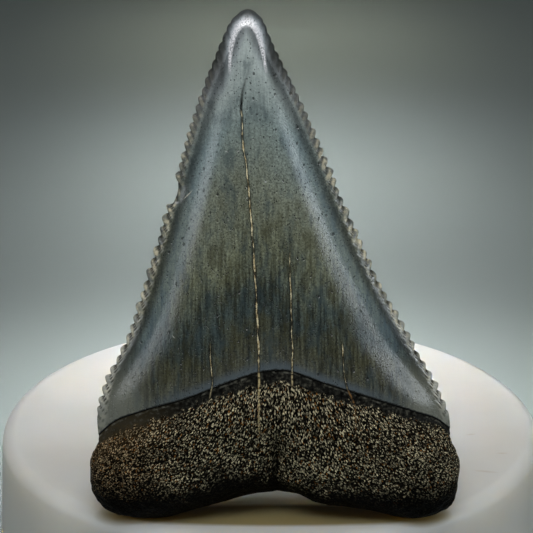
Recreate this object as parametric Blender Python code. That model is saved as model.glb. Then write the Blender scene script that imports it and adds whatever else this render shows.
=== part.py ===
"""A fossil great white shark tooth, standing on its root on a round white display stand.

The tooth is one natural piece: an enamel crown, a smooth dental band and a coarse two-lobed root,
all grown as one. It only rests on the stand. World frame: metres, +Z up, origin at the middle of
the stand's bottom face, and the tooth's displayed (tongue side) face looks along -Y.
"""

import bmesh
import bpy
import numpy as np
from math import cos, pi, radians, sin, tan

# Driving dimensions of the crown, in metres
TOOTH_HEIGHT = 0.0600
CROWN_FRONT = 0.0061          # how far the tongue side of the crown bulges at the enamel line
CROWN_BACK = 0.0026           # and its lip side, which is nearly flat
FRONT_SECTION = (2.6, 1.45)   # bulge = (1 - across^first)^second: a rounded middle, hollow flanks
BACK_SECTION = (2.4, 1.1)
TIP_RADIUS = 0.0017           # the worn, rounded tip, and its half thickness in front and behind
TIP_FRONT = 0.0013
TIP_BACK = 0.0009
TIP_BEND = 0.0015             # how far the tip bends back, over the length below it
TIP_BEND_LENGTH = 0.0085
DENTICLES = 36                # serrations along each cutting edge
DENTICLE_DEPTH = 0.00042
DENTICLES_FULL = 0.5          # share down the crown at which they reach their full depth

# Driving dimensions of the root, in metres; a reach is a share of the way down it
ROOT_BULGE = 0.0010           # how much prouder it swells than the crown, at its middle
ROOT_BACK_BULGE = 0.0013
LOBE_THINNING = 0.0010        # how much thinner its two lobes are, in front
SWELL_REACH = 0.35
BACK_SWELL_REACH = 0.4
THINNING_REACH = 0.5
MIDDLE_HALF = (0.1, 0.75)     # shares across at which its middle ends and its lobes begin
MIDDLE_PLACE = -0.03
BLUNTNESS = 4.5               # how much blunter its sides are than the crown's edges
BLUNT_REACH = 0.6
FRONT_FULLNESS = 0.95         # how much fuller its section is than the crown's
BACK_FULLNESS = 0.6
UNDER_POWERS = (4.5, 2.4)     # how late the lobes and the middle turn under: 1 - down^power
SIDE_POWER = 6.0              # how late the sides of the lobes do
DEPTH_START = 0.2             # where the base line starts to drift back under the arch
LEFT_LOBE_FOOT = -0.0188      # where the sides of the lobes have turned under to the base
RIGHT_LOBE_FOOT = 0.0176
LEFT_LOBE_SWELL = 0.0036
RIGHT_LOBE_SWELL = 0.0032
LEFT_LOBE_NECK = 0.0008       # how far they draw in under the corners of the enamel
RIGHT_LOBE_NECK = 0.0012
LEFT_NECK_REACH = 0.38
RIGHT_NECK_REACH = 0.42
GROOVE_PLACE = -0.0005        # the nutrient groove down the middle
GROOVE_DEPTH = 0.0009
GROOVE_WIDTH = 0.0016
GROOVE_REACH = (0.25, 0.6)

# Outlines in the tooth's own plane. Edges: (height above the lobes, distance from the middle)
LEFT_EDGE = [(0.0101, -0.0216), (0.0120, -0.0217), (0.0159, -0.0208), (0.0220, -0.0180),
             (0.0310, -0.0151), (0.0408, -0.0122), (0.0513, -0.0090), (0.0581, -0.0062),
             (TOOTH_HEIGHT, -0.0056)]
RIGHT_EDGE = [(0.0109, 0.0196), (0.0120, 0.0195), (0.0156, 0.0181), (0.0220, 0.0146),
              (0.0295, 0.0106), (0.0363, 0.0076), (0.0499, 0.0019), (0.0581, -0.0020),
              (TOOTH_HEIGHT, -0.0023)]
# Lines that cross the tooth: (place across, -1 left to 1 right, height or depth)
ENAMEL_LINE = [(-1.0, 0.0101), (-0.9, 0.0122), (-0.75, 0.0140), (-0.5, 0.0161), (-0.2, 0.0188),
               (-0.04, 0.0198), (0.08, 0.0198), (0.22, 0.0187), (0.5, 0.0165), (0.8, 0.0137),
               (0.93, 0.0122), (1.0, 0.0109)]
BASE_LINE = [(-1.0, 0.0005), (-0.85, 0.0), (-0.7, 0.0), (-0.55, 0.0006), (-0.3, 0.0015),
             (-0.12, 0.0021), (0.0, 0.0022), (0.12, 0.0021), (0.22, 0.0013), (0.4, 0.0011),
             (0.6, 0.0007), (0.78, 0.0), (0.9, 0.0), (1.0, 0.0005)]
BASE_DEPTH = [(-1.0, 0.0003), (-0.7, 0.0002), (-0.45, -0.0012), (-0.2, -0.0028), (0.0, -0.0032),
              (0.15, -0.0028), (0.35, -0.0014), (0.65, 0.0), (1.0, 0.0003)]

# How the tooth stands
LEAN_BACK = radians(5.0)
TOOTH_X = 0.0014
TOOTH_Y = -0.0277
REST_GAP = 0.0003

# Display stand
STAND_RADIUS = 0.0346
STAND_HEIGHT = 0.0200
STAND_DRAFT = radians(3.0)
TOP_ROUND = 0.0018
TOP_ROUND_STEPS = 5
FOOT_ROUND = 0.0006
FOOT_ROUND_STEPS = 2
ROUND_PROFILE = 0.5           # a circular arc
STAND_SIDES = 72
STAND_CREASE = radians(35.0)

# Mesh density of the tooth
COLUMNS = 18
ROOT_ROWS = 12
ROWS_EVENNESS = 0.65          # 1 spaces the crown's rows evenly; less draws them to the tip
TOOTH_CREASE = radians(50.0)

# Surfaces: linear colour and roughness
STAND_COLOUR = (0.72, 0.72, 0.70)
STAND_ROUGHNESS = 0.30
TOOTH_COLOUR = (0.09, 0.10, 0.09)
TOOTH_ROUGHNESS = 0.35


def smooth_step(start, end, value):
    """0 before start, 1 after end, with a smooth rise between."""
    rise = np.clip((value - start) / (end - start), 0.0, 1.0)
    return rise * rise * (3.0 - 2.0 * rise)


def curve_through(points, at):
    """A smooth curve (cubic Hermite) through a few points, read at every value in `at`."""
    known, height = np.array(points).T
    span = np.diff(known)
    slope = np.diff(height) / span
    tangent = np.empty(len(known))
    tangent[0] = slope[0]
    tangent[-1] = slope[-1]
    tangent[1:-1] = (span[1:] * slope[:-1] + span[:-1] * slope[1:]) / (span[1:] + span[:-1])
    left = np.clip(np.searchsorted(known, at) - 1, 0, len(span) - 1)
    t = (at - known[left]) / span[left]
    width = span[left]
    return (height[left] * (1.0 + 2.0 * t) * (1.0 - t) ** 2
            + tangent[left] * width * t * (1.0 - t) ** 2
            + height[left + 1] * t * t * (3.0 - 2.0 * t)
            - tangent[left + 1] * width * t * t * (1.0 - t))


def section(edge, powers):
    """Share of the full bulge at each share of the way out to an edge."""
    return (1.0 - edge ** powers[0]) ** powers[1]


def crown_row(across, down):
    """Front and back points of the crown at `down` (0 tip, 1 enamel line) for each `across`."""
    left_height = TOOTH_HEIGHT - down * (TOOTH_HEIGHT - LEFT_EDGE[0][0])
    right_height = TOOTH_HEIGHT - down * (TOOTH_HEIGHT - RIGHT_EDGE[0][0])
    drop = np.clip(down * (TOOTH_HEIGHT - LEFT_EDGE[0][0]) / TIP_RADIUS, 0.0, 1.0)
    rounding = np.sqrt(1.0 - (1.0 - drop) ** 2)
    left = curve_through(LEFT_EDGE, left_height)
    right = curve_through(RIGHT_EDGE, right_height)
    x = 0.5 * (left + right) + across * 0.5 * (right - left) * rounding
    z = TOOTH_HEIGHT - down * (TOOTH_HEIGHT - curve_through(ENAMEL_LINE, across))
    front = TIP_FRONT * rounding + (CROWN_FRONT - TIP_FRONT) * smooth_step(0.0, 1.0, down)
    back = TIP_BACK * rounding + (CROWN_BACK - TIP_BACK) * down
    edge = np.abs(across)
    bend = TIP_BEND * np.clip(1.0 - (TOOTH_HEIGHT - z) / TIP_BEND_LENGTH, 0.0, 1.0) ** 2
    return x, z, front * section(edge, FRONT_SECTION) - bend, -back * section(edge, BACK_SECTION) - bend


def root_row(across, down):
    """Front and back points of the root at `down` (0 enamel line, 1 base) for each `across`."""
    close_side = np.sqrt(1.0 - down ** SIDE_POWER)
    left = LEFT_LOBE_FOOT - LEFT_LOBE_SWELL * close_side
    left = left + LEFT_LOBE_NECK * (1.0 - smooth_step(0.0, LEFT_NECK_REACH, down))
    right = RIGHT_LOBE_FOOT + RIGHT_LOBE_SWELL * close_side
    right = right - RIGHT_LOBE_NECK * (1.0 - smooth_step(0.0, RIGHT_NECK_REACH, down))
    x = 0.5 * (left + right) + across * 0.5 * (right - left)
    z = (1.0 - down) * curve_through(ENAMEL_LINE, across) + down * curve_through(BASE_LINE, across)
    edge = np.abs(across)
    middle = 1.0 - smooth_step(*MIDDLE_HALF, np.abs(across - MIDDLE_PLACE))
    under_power = (1.0 - middle) * UNDER_POWERS[0] + middle * UNDER_POWERS[1]
    close = np.sqrt(np.clip(1.0 - down ** under_power, 0.0, 1.0))
    base = curve_through(BASE_DEPTH, across) * smooth_step(DEPTH_START, 1.0, down)
    swell = smooth_step(0.0, SWELL_REACH, down)
    blunt = BLUNTNESS * smooth_step(0.0, BLUNT_REACH, down)
    front = CROWN_FRONT + ROOT_BULGE * swell * middle
    front = front - LOBE_THINNING * smooth_step(0.0, THINNING_REACH, down) * (1.0 - middle)
    back = CROWN_BACK + ROOT_BACK_BULGE * smooth_step(0.0, BACK_SWELL_REACH, down)
    groove = GROOVE_DEPTH * np.exp(-((x - GROOVE_PLACE) / GROOVE_WIDTH) ** 2)
    groove = groove * smooth_step(*GROOVE_REACH, down)
    front_side = section(edge, (FRONT_SECTION[0] + blunt, FRONT_SECTION[1] - FRONT_FULLNESS * swell))
    back_side = section(edge, (BACK_SECTION[0] + blunt, BACK_SECTION[1] - BACK_FULLNESS * swell))
    return x, z, base + (front * front_side - groove) * close, base - back * close * back_side


def add_ring(bm, x, z, front, back):
    """One closed ring of vertices: along the front from left to right, then home along the back."""
    ring = [bm.verts.new((x[i], -front[i], z[i])) for i in range(len(x))]
    ring += [bm.verts.new((x[i], -back[i], z[i])) for i in range(len(x) - 2, 0, -1)]
    return ring


def bridge(bm, upper, lower):
    """Joins two rings of the same length with quads that face outwards."""
    count = len(upper)
    for i in range(count):
        j = (i + 1) % count
        bm.faces.new((upper[i], lower[i], lower[j], upper[j]))


def make_tooth(material):
    """The whole tooth: rings from the tip down the crown and the root, closed along the base."""
    across = np.sin(0.5 * pi * np.linspace(-1.0, 1.0, COLUMNS + 1))
    bm = bmesh.new()
    crown_rows = 2 * DENTICLES
    tip_x = 0.5 * (LEFT_EDGE[-1][1] + RIGHT_EDGE[-1][1])
    tip = bm.verts.new((tip_x, TIP_BEND, TOOTH_HEIGHT))
    rings = []
    for row in range(1, crown_rows + 1):
        share = row / crown_rows
        down = (1.0 - ROWS_EVENNESS) * share ** 2 + ROWS_EVENNESS * share
        x, z, front, back = crown_row(across, np.full(COLUMNS + 1, down))
        if row % 2 == 0:
            bite = DENTICLE_DEPTH * smooth_step(0.0, DENTICLES_FULL, down)
            x[0] += bite
            x[-1] -= bite
        rings.append(add_ring(bm, x, z, front, back))
    for row in range(1, ROOT_ROWS):
        down = sin(0.5 * pi * row / ROOT_ROWS)
        rings.append(add_ring(bm, *root_row(across, np.full(COLUMNS + 1, down))))
    for upper, lower in zip(rings[:-1], rings[1:]):
        bridge(bm, upper, lower)

    first = rings[0]
    last = rings[-1]
    for i in range(len(first)):
        bm.faces.new((tip, first[i], first[(i + 1) % len(first)]))
    x, z, base, _ = root_row(across, np.ones(COLUMNS + 1))
    foot = [bm.verts.new((x[i], -base[i], z[i])) for i in range(COLUMNS + 1)]
    bridge(bm, last, foot + foot[-2:0:-1])

    mesh = bpy.data.meshes.new("tooth")
    bm.to_mesh(mesh)
    bm.free()
    mesh.materials.append(material)
    mesh.shade_smooth()
    mesh.set_sharp_from_angle(angle=TOOTH_CREASE)
    tooth = bpy.data.objects.new("tooth", mesh)
    bpy.context.collection.objects.link(tooth)
    lowest = min(v.co.z * cos(LEAN_BACK) + v.co.y * sin(-LEAN_BACK) for v in mesh.vertices)
    tooth.rotation_euler.x = -LEAN_BACK
    tooth.location = (TOOTH_X, TOOTH_Y, STAND_HEIGHT + REST_GAP - lowest)
    return tooth


def make_stand(material):
    """A plain turned disc: slightly drafted wall, well rounded top rim, lightly eased foot."""
    foot_radius = STAND_RADIUS + STAND_HEIGHT * tan(STAND_DRAFT)
    bm = bmesh.new()
    bmesh.ops.create_cone(bm, cap_ends=True, segments=STAND_SIDES, radius1=foot_radius,
                          radius2=STAND_RADIUS, depth=STAND_HEIGHT)
    bmesh.ops.translate(bm, verts=bm.verts, vec=(0.0, 0.0, 0.5 * STAND_HEIGHT))
    rims = ((STAND_HEIGHT, TOP_ROUND, TOP_ROUND_STEPS), (0.0, FOOT_ROUND, FOOT_ROUND_STEPS))
    for height, size, steps in rims:
        rim = [e for e in bm.edges if all(abs(v.co.z - height) < 1e-6 for v in e.verts)]
        bmesh.ops.bevel(bm, geom=rim, offset=size, segments=steps, profile=ROUND_PROFILE, affect="EDGES")
    mesh = bpy.data.meshes.new("display_stand")
    bm.to_mesh(mesh)
    bm.free()
    mesh.materials.append(material)
    mesh.shade_smooth()
    mesh.set_sharp_from_angle(angle=STAND_CREASE)
    stand = bpy.data.objects.new("display_stand", mesh)
    bpy.context.collection.objects.link(stand)
    return stand


def make_material(name, colour, roughness):
    """A plain surface with one colour (linear RGB)."""
    material = bpy.data.materials.new(name)
    material.use_nodes = True
    surface = material.node_tree.nodes["Principled BSDF"]
    surface.inputs["Base Color"].default_value = (*colour, 1.0)
    surface.inputs["Roughness"].default_value = roughness
    surface.inputs["Metallic"].default_value = 0.0
    return material


for thing in list(bpy.data.objects):
    bpy.data.objects.remove(thing, do_unlink=True)

make_stand(make_material("white gloss plastic", STAND_COLOUR, STAND_ROUGHNESS))
make_tooth(make_material("fossil tooth", TOOTH_COLOUR, TOOTH_ROUGHNESS))
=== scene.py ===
from functools import partial
from math import cos, pi, radians, sin, tan
import bpy
import numpy as np
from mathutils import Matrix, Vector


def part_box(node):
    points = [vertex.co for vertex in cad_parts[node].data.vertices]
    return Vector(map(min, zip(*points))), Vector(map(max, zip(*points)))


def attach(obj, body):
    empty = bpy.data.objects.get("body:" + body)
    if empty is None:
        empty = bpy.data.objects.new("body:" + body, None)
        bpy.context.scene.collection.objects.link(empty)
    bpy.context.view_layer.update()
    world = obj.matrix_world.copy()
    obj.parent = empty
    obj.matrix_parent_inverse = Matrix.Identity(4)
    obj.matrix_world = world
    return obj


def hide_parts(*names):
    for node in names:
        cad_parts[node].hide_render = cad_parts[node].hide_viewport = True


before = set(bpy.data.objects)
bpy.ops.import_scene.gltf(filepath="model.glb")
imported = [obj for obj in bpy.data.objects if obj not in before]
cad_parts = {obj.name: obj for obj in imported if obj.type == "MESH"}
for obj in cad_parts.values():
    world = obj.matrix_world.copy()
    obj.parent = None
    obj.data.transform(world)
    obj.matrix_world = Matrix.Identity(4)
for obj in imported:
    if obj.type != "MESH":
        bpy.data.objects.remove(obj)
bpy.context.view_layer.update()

# ==================== display stand
# The stand is one plain disc of white acrylic, turned from thick cast sheet and polished: a
# slightly tapered wall, a well rounded rim and a flat top. It stands on its own foot, with
# nothing fixed to it.
STAND_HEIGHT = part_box("display_stand")[1][2]
STAND_RADIUS = 0.0346         # of the top, if its rim were sharp
STAND_DRAFT = tan(radians(3.0))
RIM_ROUND = 0.0018
FOOT_ROUND = 0.0006
STAND_SIDES = 288
FOOT_RINGS = np.array([0.5, 0.98])      # of each flat face, as shares of its radius
TOP_RINGS = np.array([0.995, 0.97, 0.9, 0.75, 0.5, 0.25])


def stand_profile():
    """Radius and height from the foot's middle to the top's middle: two straight lines joined by
    quarter-turn arcs, radius = centre + round * cos(turn), height = centre + round * sin(turn)."""
    foot_turn = np.radians(np.linspace(-90.0, 0.0, 7))
    rim_turn = np.radians(np.linspace(0.0, 90.0, 17))
    foot_centre = STAND_RADIUS + STAND_DRAFT * (STAND_HEIGHT - FOOT_ROUND) - FOOT_ROUND
    rim_centre = STAND_RADIUS + STAND_DRAFT * RIM_ROUND - RIM_ROUND
    radius = np.concatenate([FOOT_RINGS * foot_centre, foot_centre + FOOT_ROUND * np.cos(foot_turn),
                             rim_centre + RIM_ROUND * np.cos(rim_turn), TOP_RINGS * rim_centre])
    height = np.concatenate([np.zeros(len(FOOT_RINGS)), FOOT_ROUND + FOOT_ROUND * np.sin(foot_turn),
                             STAND_HEIGHT - RIM_ROUND + RIM_ROUND * np.sin(rim_turn),
                             np.full(len(TOP_RINGS), STAND_HEIGHT)])
    return radius, height


def skin(name, points, quads, triangles):
    """A smooth mesh piece at the origin from an array of points and arrays of corner numbers."""
    mesh = bpy.data.meshes.new(name)
    mesh.from_pydata(points.tolist(), [], quads.tolist() + triangles.tolist())
    mesh.shade_smooth()
    piece = bpy.data.objects.new(name, mesh)
    bpy.context.collection.objects.link(piece)
    return piece


def strip(upper, lower):
    """Quads between neighbouring rings of point numbers, whose last point joins the first."""
    return np.stack([upper, lower, np.roll(lower, -1, -1), np.roll(upper, -1, -1)], -1).reshape(-1, 4)


def fan(pole, ring):
    """Triangles from one point to a ring of point numbers."""
    return np.stack([np.full(len(ring), pole), ring, np.roll(ring, -1)], -1)


radius, height = stand_profile()
turn = np.arange(STAND_SIDES) * 2.0 * pi / STAND_SIDES
stand_rings = np.stack(np.broadcast_arrays(radius[:, None] * np.cos(turn), radius[:, None] * np.sin(turn),
                                           height[:, None]), -1)
stand_numbers = np.arange(len(radius) * STAND_SIDES).reshape(len(radius), STAND_SIDES)
foot_pole = stand_numbers.size
stand_points = np.vstack([stand_rings.reshape(-1, 3), [[0, 0, 0], [0, 0, STAND_HEIGHT]]])
stand = skin("white_display_stand", stand_points, strip(stand_numbers[1:], stand_numbers[:-1]),
             np.vstack([fan(foot_pole, stand_numbers[0])[:, ::-1], fan(foot_pole + 1, stand_numbers[-1])]))


def linear(hex_colour):
    """The linear colour, with full alpha, of an sRGB hex value such as "b3b0a8"."""
    share = np.array([int(hex_colour[i:i + 2], 16) for i in (0, 2, 4)]) / 255.0
    light = np.where(share <= 0.04045, share / 12.92, ((share + 0.055) / 1.055) ** 2.4)
    return (*light.tolist(), 1.0)


def add_node(tree, kind, inputs, read=0, stops=(), **settings):
    """Adds one shader node and gives its output `read`. inputs are values, colours or the sockets
    that feed it, in order or by socket name, stops are a colour ramp's (place, colour) pairs in
    rising order, and settings are the node's own properties."""
    new = tree.nodes.new("ShaderNode" + kind)
    for name, value in settings.items():
        setattr(new, name, value)
    for key, value in inputs.items() if isinstance(inputs, dict) else enumerate(inputs):
        if isinstance(value, bpy.types.NodeSocket):
            tree.links.new(value, new.inputs[key])
        else:
            new.inputs[key].default_value = linear(value) if isinstance(value, str) else value
    for i, (place, colour) in enumerate(stops):
        stop = new.color_ramp.elements[i] if i < 2 else new.color_ramp.elements.new(place)
        stop.position = place
        stop.color = linear(colour)
    return new.outputs[read] if len(new.outputs) else new


def new_material(name):
    """An empty node material, and the node adder for it."""
    material = bpy.data.materials.new(name)
    material.use_nodes = True
    material.node_tree.nodes.clear()
    return material, partial(add_node, material.node_tree)


# Cast acrylic (PMMA), opaque white, turned and polished: light goes up to a centimetre into it and
# comes back out, which softens and warms the shadows on it, and its even gloss is a hair softer
# where it has been handled. Brown dust rubbed off the root lies in smears, and under the tooth a
# brown spot is such dust together with a painted shadow.
DUST_AND_SHADOW = (0.0010, -0.0277, 0.0240, 0.0031)      # middle x, y and half sizes, metres
SMEARS = ((0.0266, -0.0157, 0.0019, 0.00035, -12.0), (0.0291, -0.0104, 0.0009, 0.0003, 0.0),
          (0.0257, -0.0047, 0.0008, 0.0003, 10.0))     # middle x, y, half sizes, turn in degrees
SPOT_DEPTH = 0.002
RGBA = {"read": 2, "data_type": "RGBA"}      # makes a Mix node mix colours
acrylic, node = new_material("white_cast_acrylic")
place = node("TexCoord", {}, "Object")
handling = node("TexNoise", {"Vector": place, "Scale": 90.0, "Detail": 4.0})     # patches of 11 mm
colour = node("ValToRGB", (handling,), stops=((0.35, "c9c8c3"), (0.65, "cfcec9")))
# The first spot is brown dust with a painted shadow in it, under the tooth's root.
spots = [(*DUST_AND_SHADOW, 0.0, 4.0, "8d7f56")] + [(*smear, 0.35, "a48a62") for smear in SMEARS]
for middle_x, middle_y, half_long, half_thin, turned, strength, stain_and_shade in spots:
    spot_place = node("Mapping", {"Vector": place, "Location": (middle_x, middle_y, STAND_HEIGHT),
                                  "Rotation": (0.0, 0.0, radians(turned)),
                                  "Scale": (half_long, half_thin, SPOT_DEPTH)}, vector_type="TEXTURE")
    spot = node("TexGradient", (spot_place,), "Fac", gradient_type="SPHERICAL")
    amount = node("Math", (spot, strength), operation="MULTIPLY", use_clamp=True)
    colour = node("Mix", {0: amount, 6: colour, 7: stain_and_shade}, **RGBA)
gloss = node("MapRange", (handling, 0.0, 1.0, 0.34, 0.50))
surface = node("BsdfPrincipled", {"Base Color": colour, "Roughness": gloss, "IOR": 1.49,
                                  "Subsurface Weight": 1.0, "Subsurface Radius": (1.0, 0.86, 0.66),
                                  "Subsurface Scale": 0.013})
node("OutputMaterial", (surface,))
stand.data.materials.append(acrylic)
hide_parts("display_stand")
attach(stand, "root")

# ==================== the tooth
# One upper tooth, grown as one piece: an enamel crown with saw-edged denticles over a dentine
# body, a thin smooth dental band, and a coarse two-lobed root. Its own plane stands 5 degrees
# back from upright, and it rests on the two lobes with nothing holding it.
MM = 0.001
TOOTH_HEIGHT = 0.0599
LEAN_BACK = radians(5.0)
TOOTH_X = 0.0014
TOOTH_Y = -0.0277
LEFT_EDGE = [(0.0101, -0.0216), (0.0120, -0.0217), (0.0159, -0.0208), (0.0220, -0.0180),
             (0.0310, -0.0151), (0.0408, -0.0122), (0.0513, -0.0090), (0.0581, -0.0062),
             (TOOTH_HEIGHT, -0.0054)]     # (height, place across) up each edge
RIGHT_EDGE = [(0.0109, 0.0196), (0.0120, 0.0195), (0.0156, 0.0181), (0.0220, 0.0146),
              (0.0295, 0.0106), (0.0363, 0.0076), (0.0499, 0.0019), (0.0581, -0.0020),
              (TOOTH_HEIGHT, -0.0026)]
ENAMEL_LINE = [(-1.0, 0.0101), (-0.9, 0.0122), (-0.75, 0.0140), (-0.5, 0.0161), (-0.2, 0.0188),
               (-0.04, 0.0198), (0.08, 0.0198), (0.22, 0.0187), (0.5, 0.0165), (0.8, 0.0137),
               (0.93, 0.0122), (1.0, 0.0109)]     # (share across, height), as the base line
BASE_LINE = [(-1.0, 0.0005), (-0.85, 0.0), (-0.7, 0.0), (-0.55, 0.0006), (-0.3, 0.0015),
             (-0.12, 0.0021), (0.0, 0.0022), (0.12, 0.0021), (0.22, 0.0013), (0.4, 0.0011),
             (0.6, 0.0007), (0.78, 0.0), (0.9, 0.0), (1.0, 0.0005)]
BASE_DEPTH = [(-1.0, 0.0003), (-0.7, 0.0002), (-0.45, -0.0012), (-0.2, -0.0028), (0.0, -0.0032),
              (0.15, -0.0028), (0.35, -0.0014), (0.65, 0.0), (1.0, 0.0003)]  # (share across, how far forward)
TIP_ROUND = 0.0019
TIP_BEND = 0.0015             # how far the tip bends back, over TIP_BEND_LENGTH
TIP_BEND_LENGTH = 0.0085
TIP_FRONT = 0.0013            # bulge of the front and the back at the tip, then at the enamel line
TIP_BACK = 0.0009
CROWN_FRONT = 0.0056
CROWN_BACK = 0.0026
FACET_FLANK = 0.46            # at the tip, the flank's share of the half width
FACET_BEND = 7.0              # and how sharply it meets the flat middle
FACET_ENDS = (0.04, 0.34)     # shares down the crown between which the tip's shape gives way
EDGE_THICKNESS = 0.00026      # half the thickness of the cutting edge, under the denticles
EDGE_ROUND = 0.3 * MM         # how far in from the edge it is reached
SECTION_POWER = 2.6           # the front is flat in the middle and falls off as this power of the distance
SHOULDER_IN = (0.0059, 0.0064)          # left and right: the steepest place's distance in from the edge
SHOULDER_GROWTH = 8.0 * MM    # half width over which the crown comes to have that distance
SHOULDER_LOW = 0.50           # share by which it is less again at the enamel line
SHOULDER_HALF = 0.0010        # half the width of the steep stretch
STEEPER = [(0.0, 0.9), (0.21, 1.0), (0.29, 0.61), (0.37, 0.41), (0.47, 0.27), (0.57, 0.17), (0.67, 0.12),
           (0.77, 0.05), (0.87, 0.0), (1.0, 0.27)]      # (share down the crown, its extra slope)
RIGHT_LESS_STEEP = 0.11       # what the right flank has less of it
EDGE_EASE = 0.50              # how far the slope eases off between shoulder and edge
EASE_PLACE = 1.4              # where it does and over what length, in the steep stretch's half widths
EASE_LENGTH = 0.35
BACK_POWERS = (2.4, 1.1)      # the back's section is (1 - across^2.4)^1.1
ROOT_BULGE = 0.0010
ROOT_BACK_BULGE = 0.0013
ROOT_BLUNT = 4.5              # what is added to the powers of the root's sections, to square them
ARCH_MIDDLE = -0.03           # share across of the arch between the lobes,
ARCH_ENDS = (0.1, 0.75)       # and how far from there it starts to end, and ends
BASE_POWER = 4.5              # the power that closes the faces on the base; the arch adds one of
ARCH_BACK_POWER = -2.1        # these two to it
ARCH_FRONT_POWER = 1.5
LOBE_THINNING = 0.0010
GROOVES = ((0.0006, 0.0020), (0.0009, 0.0005))      # depth and width: a dip, and a crevice in it
GROOVE_X = -0.0006
LEFT_LOBE = (-0.0188, 0.0036, 0.0008, 0.38)     # foot, swell and neck of its side, and where the neck ends
RIGHT_LOBE = (0.0176, 0.0032, 0.0012, 0.42)
CROWN_COLUMNS = 48
CROWN_ROWS = 480
FINER = 4                     # root columns for each one of the crown
ROOT_ROWS = 116


def smooth_step(start, end, value):
    """0 before start, 1 after end, and 3t^2 - 2t^3 between."""
    rise = np.clip((value - start) / (end - start), 0.0, 1.0)
    return rise * rise * (3.0 - 2.0 * rise)


def quarter_round(share):
    """0 at 0, and 1 from 1 onwards, along the arc sqrt(1 - (1 - share)^2)."""
    return np.sqrt(1.0 - (1.0 - np.clip(share, 0.0, 1.0)) ** 2)


def curve_through(points, at):
    """A smooth curve (cubic Hermite) through a few points, read at every value in `at`. The tangent
    at a point is the mean of the slopes at its two sides, each weighted by the other's span."""
    known, level = np.array(points).T
    span = np.diff(known)
    slope = np.diff(level) / span
    inner = (span[1:] * slope[:-1] + span[:-1] * slope[1:]) / (span[1:] + span[:-1])
    tangent = np.concatenate([slope[:1], inner, slope[-1:]])
    left = np.clip(np.searchsorted(known, at) - 1, 0, len(span) - 1)
    width = span[left]
    t = (at - known[left]) / width
    return (level[left] * (1.0 + 2.0 * t) * (1.0 - t) ** 2 + tangent[left] * width * t * (1.0 - t) ** 2
            + level[left + 1] * t * t * (3.0 - 2.0 * t) - tangent[left + 1] * width * t * t * (1.0 - t))


def lumps(points, size, seed):
    """Smooth random heights between -1 and 1: a random value at each corner of a cubic lattice
    with cells of the given size, joined by smooth steps along the three axes."""
    repeat = 32
    heights = np.random.default_rng(seed).uniform(-1.0, 1.0, (repeat, repeat, repeat))
    scaled = points / size + 100.0
    cell = np.floor(scaled).astype(int)
    t = scaled - cell
    t = t * t * (3.0 - 2.0 * t)
    total = 0.0
    for corner in np.ndindex(2, 2, 2):
        weight = np.prod(np.where(corner, t, 1.0 - t), axis=-1)
        x, y, z = np.moveaxis((cell + corner) % repeat, -1, 0)
        total = total + weight * heights[x, y, z]
    return total


# Saw edge. The denticles are rounded knobs that repeat about every 1.35 mm low on the crown and
# are smaller and worn near the tip. One is lost in a chip on the left edge.
KNOB_STEP = (1.05, 0.32)      # millimetres from knob to knob at the tip, and what is added low down,
STEP_GROWS = (0.056, 0.030)   # between these heights
KNOB_DEPTH = (0.18, 0.60)     # millimetres from knob to notch at the worn tip, and what is added,
WEAR_ENDS = (0.0595, 0.040)   # between these heights
KNOB_TILT = 0.8               # how far a knob leans up, per length inwards
KNOB_REACH = 0.0013
KNOB_RELIEF = 0.00023
KNOB_OUT = 0.9                # a knob grows out and a little up
KNOB_UP = 0.45
KNOB_WANDER = 0.16            # how far it is off its place, as a share of the step
KNOB_SIZES = (0.6, 1.0)
KNOB_POWER = 0.7              # below 1 for round knobs and narrow notches
MOST_KNOBS = 80
PLAIN_EDGE = 0.55             # the saw's height that lies on the plain edge, in its 0 to 1
SAW_FADES = (0.0118, 0.0150)  # heights between which the saw fades out, down to the enamel line
CHIP_HEIGHT = 0.0392
CHIP_HALF = 0.0013
CHIP_DEPTH = 0.00026
CHIP_REACH = 2.5 * MM
CHIP_SCOOP = 0.0003           # how deep the chip goes into the front face
# The ridge round the tip's facet, along which the enamel has a painted highlight:
RIDGE_BELOW_TIP = 1.2         # the worn ridge round the tip's facet, in millimetres: its top, how far
RIDGE_HALF = 2.2              # each arm ends from the middle, and the drop over which it spreads
RIDGE_DROP = 3.0


def denticles(edge_height, edge_across, height, seed):
    """Height of the saw, 0 in a notch and 1 on a knob: |cos(pi * count)| ^ 0.7, where count is the
    edge's length from the tip over the local spacing, with a little wander, and each knob has
    its own random size. The edge gives count by height, and it is read at `height`."""
    step = np.hypot(np.diff(edge_height, prepend=edge_height[0]),
                    np.diff(edge_across, prepend=edge_across[0]))
    spacing = (KNOB_STEP[0] + KNOB_STEP[1] * smooth_step(*STEP_GROWS, edge_height)) * MM
    count = np.interp(height, edge_height[::-1], np.cumsum(step / spacing)[::-1])
    random = np.random.default_rng(seed)
    wander = np.interp(count, np.arange(MOST_KNOBS), random.uniform(-KNOB_WANDER, KNOB_WANDER, MOST_KNOBS))
    size = random.uniform(*KNOB_SIZES, MOST_KNOBS)[np.round(count + wander).astype(int)]
    return size * np.abs(np.cos(pi * (count + wander))) ** KNOB_POWER


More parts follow.
